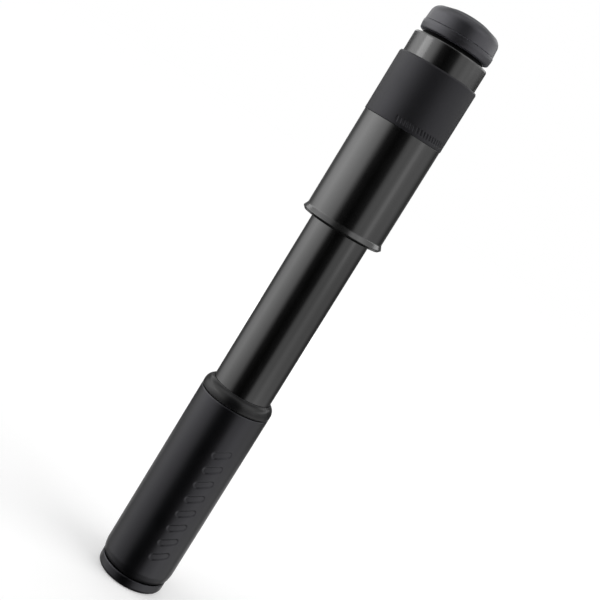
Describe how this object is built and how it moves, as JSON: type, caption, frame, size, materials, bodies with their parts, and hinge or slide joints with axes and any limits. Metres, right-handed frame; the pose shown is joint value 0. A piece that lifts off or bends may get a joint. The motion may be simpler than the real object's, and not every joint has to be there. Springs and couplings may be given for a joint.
{
  "type": "mini bike pump",
  "caption": "Telescopic hand-held mini tyre pump with rubber grip, sliding barrel, check valve, hose socket and pull-off dust cap.",
  "frame": {"origin": "centre of the end cap's flat face, the lowest point when the pump stands on it", "axes": "+Z along the pump's axis, from the end cap to the dust cap; -Y faces the viewer in the usual view"},
  "size_m": [0.0304, 0.0304, 0.2255],
  "materials": {
    "anodised_aluminium": "gloss black anodised",
    "bare_aluminium": "turned, bare",
    "grip_rubber": "satin moulded",
    "cap_rubber": "matte moulded",
    "black_plastic": "satin moulded",
    "white_plastic": "natural",
    "seal_rubber": "greased",
    "steel": "zinc plated",
    "brass": "turned"
  },
  "bodies": {
    "handle": {"end_cap": "grip_rubber", "handle_tube": "anodised_aluminium", "handle_grip": "grip_rubber", "handle_collar": "black_plastic", "wiper_ring": "seal_rubber", "rod_screw": "steel", "rod_washer": "steel", "piston_rod": "bare_aluminium", "piston_head": "black_plastic", "piston_o_ring": "seal_rubber", "piston_washer": "steel", "piston_screw": "steel"},
    "slider": {"guide_ring": "white_plastic"},
    "barrel": {"barrel_tube": "anodised_aluminium", "rod_guide": "black_plastic", "head_block": "black_plastic", "barrel_o_ring": "seal_rubber", "valve_spring": "steel", "hose_socket": "brass", "socket_washer": "white_plastic", "body_tube": "anodised_aluminium", "body_band": "grip_rubber"},
    "poppet": {"valve_poppet": "white_plastic"},
    "dust_cap": {"cap_plug": "cap_rubber", "cap_o_ring": "seal_rubber", "cap_cover": "cap_rubber"}
  },
  "joints": [
    {"name": "stroke", "type": "slide", "parent": "handle", "child": "slider", "axis": [0, 0, 1], "range_m": [-0.0642, 0.0005]},
    {"name": "twist", "type": "hinge", "parent": "slider", "child": "barrel", "pos_m": [0, 0, 0.1], "axis": [0, 0, 1], "continuous": true},
    {"name": "valve_lift", "type": "slide", "parent": "barrel", "child": "poppet", "axis": [0, 0, 1], "range_m": [0, 0.001], "stiffness_N_per_m": 80, "springref_m": -0.001, "deforming": ["valve_spring"]},
    {"name": "cap_pull", "type": "slide", "parent": "barrel", "child": "dust_cap", "axis": [0, 0, 1], "range_m": [0, 0.04]}
  ]
}
